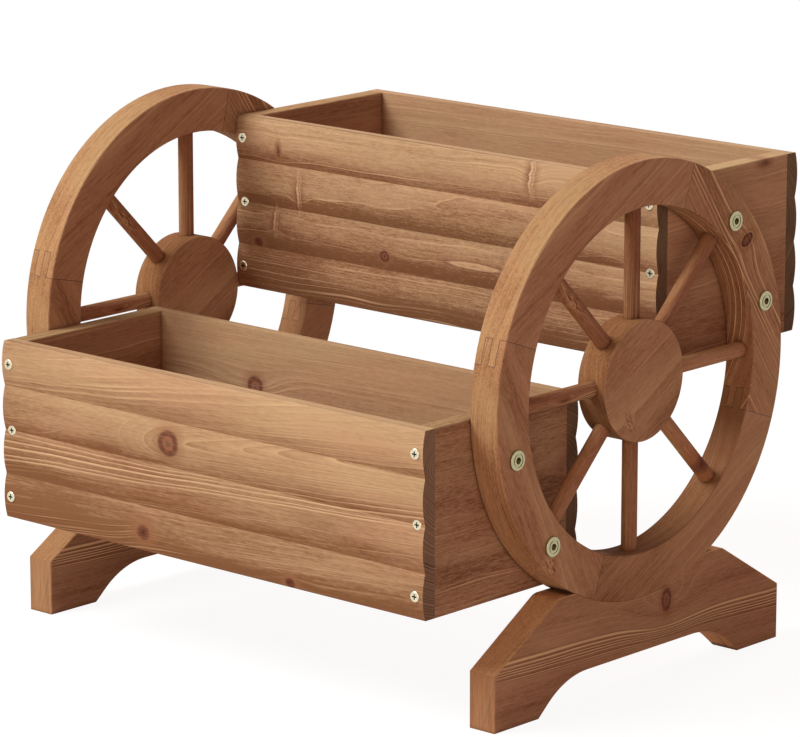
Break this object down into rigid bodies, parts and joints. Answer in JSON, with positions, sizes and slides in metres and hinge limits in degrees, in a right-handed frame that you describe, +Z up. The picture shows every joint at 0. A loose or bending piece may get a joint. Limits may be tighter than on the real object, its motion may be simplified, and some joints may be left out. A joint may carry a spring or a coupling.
{
  "type": "wagon wheel planter",
  "caption": "Free-standing wooden garden planter: a low front box and a raised rear box of half-log panels, hung between spoked wagon wheels that stand in cradle feet.",
  "frame": {"origin": "on the ground, midway between the wheels and straight below their centres", "axes": "+X from the left wheel to the right wheel along their common axis, +Y from the low front box to the raised rear box, +Z up"},
  "size_m": [0.592, 0.5236, 0.4814],
  "materials": {
    "log_panels": "stained fir, milled to half logs, matt oil",
    "box_ends": "stained fir board, matt oil",
    "floor_wood": "stained fir board, matt oil",
    "wheel_wood": "stained fir, sawn and sanded, matt oil",
    "foot_wood": "stained fir plank, matt oil",
    "yellow_zinc_bolts": "yellow-passivated zinc plate",
    "zinc_screws": "zinc plate"
  },
  "bodies": {
    "root": {"left_felloe_bottom": "wheel_wood", "left_felloe_front": "wheel_wood", "left_felloe_rear": "wheel_wood", "left_felloe_top": "wheel_wood", "left_foot": "foot_wood", "left_foot_screws": "zinc_screws", "left_hub": "wheel_wood", "left_insert_nuts": "yellow_zinc_bolts", "left_spoke_1": "wheel_wood", "left_spoke_2": "wheel_wood", "left_spoke_3": "wheel_wood", "left_spoke_4": "wheel_wood", "left_spoke_5": "wheel_wood", "left_spoke_6": "wheel_wood", "left_spoke_7": "wheel_wood", "left_spoke_8": "wheel_wood", "left_wheel_bolts": "yellow_zinc_bolts", "lower_back_panel": "log_panels", "lower_batten_screws": "zinc_screws", "lower_floor_slat_1": "floor_wood", "lower_floor_slat_2": "floor_wood", "lower_floor_slat_3": "floor_wood", "lower_front_panel": "log_panels", "lower_left_batten": "floor_wood", "lower_left_end": "box_ends", "lower_panel_screws": "zinc_screws", "lower_right_batten": "floor_wood", "lower_right_end": "box_ends", "lower_slat_screws": "zinc_screws", "right_felloe_bottom": "wheel_wood", "right_felloe_front": "wheel_wood", "right_felloe_rear": "wheel_wood", "right_felloe_top": "wheel_wood", "right_foot": "foot_wood", "right_foot_screws": "zinc_screws", "right_hub": "wheel_wood", "right_insert_nuts": "yellow_zinc_bolts", "right_spoke_1": "wheel_wood", "right_spoke_2": "wheel_wood", "right_spoke_3": "wheel_wood", "right_spoke_4": "wheel_wood", "right_spoke_5": "wheel_wood", "right_spoke_6": "wheel_wood", "right_spoke_7": "wheel_wood", "right_spoke_8": "wheel_wood", "right_wheel_bolts": "yellow_zinc_bolts", "upper_back_panel": "log_panels", "upper_batten_screws": "zinc_screws", "upper_floor_slat_1": "floor_wood", "upper_floor_slat_2": "floor_wood", "upper_floor_slat_3": "floor_wood", "upper_front_panel": "log_panels", "upper_left_batten": "floor_wood", "upper_left_end": "box_ends", "upper_panel_screws": "zinc_screws", "upper_right_batten": "floor_wood", "upper_right_end": "box_ends", "upper_slat_screws": "zinc_screws"}
  },
  "joints": []
}
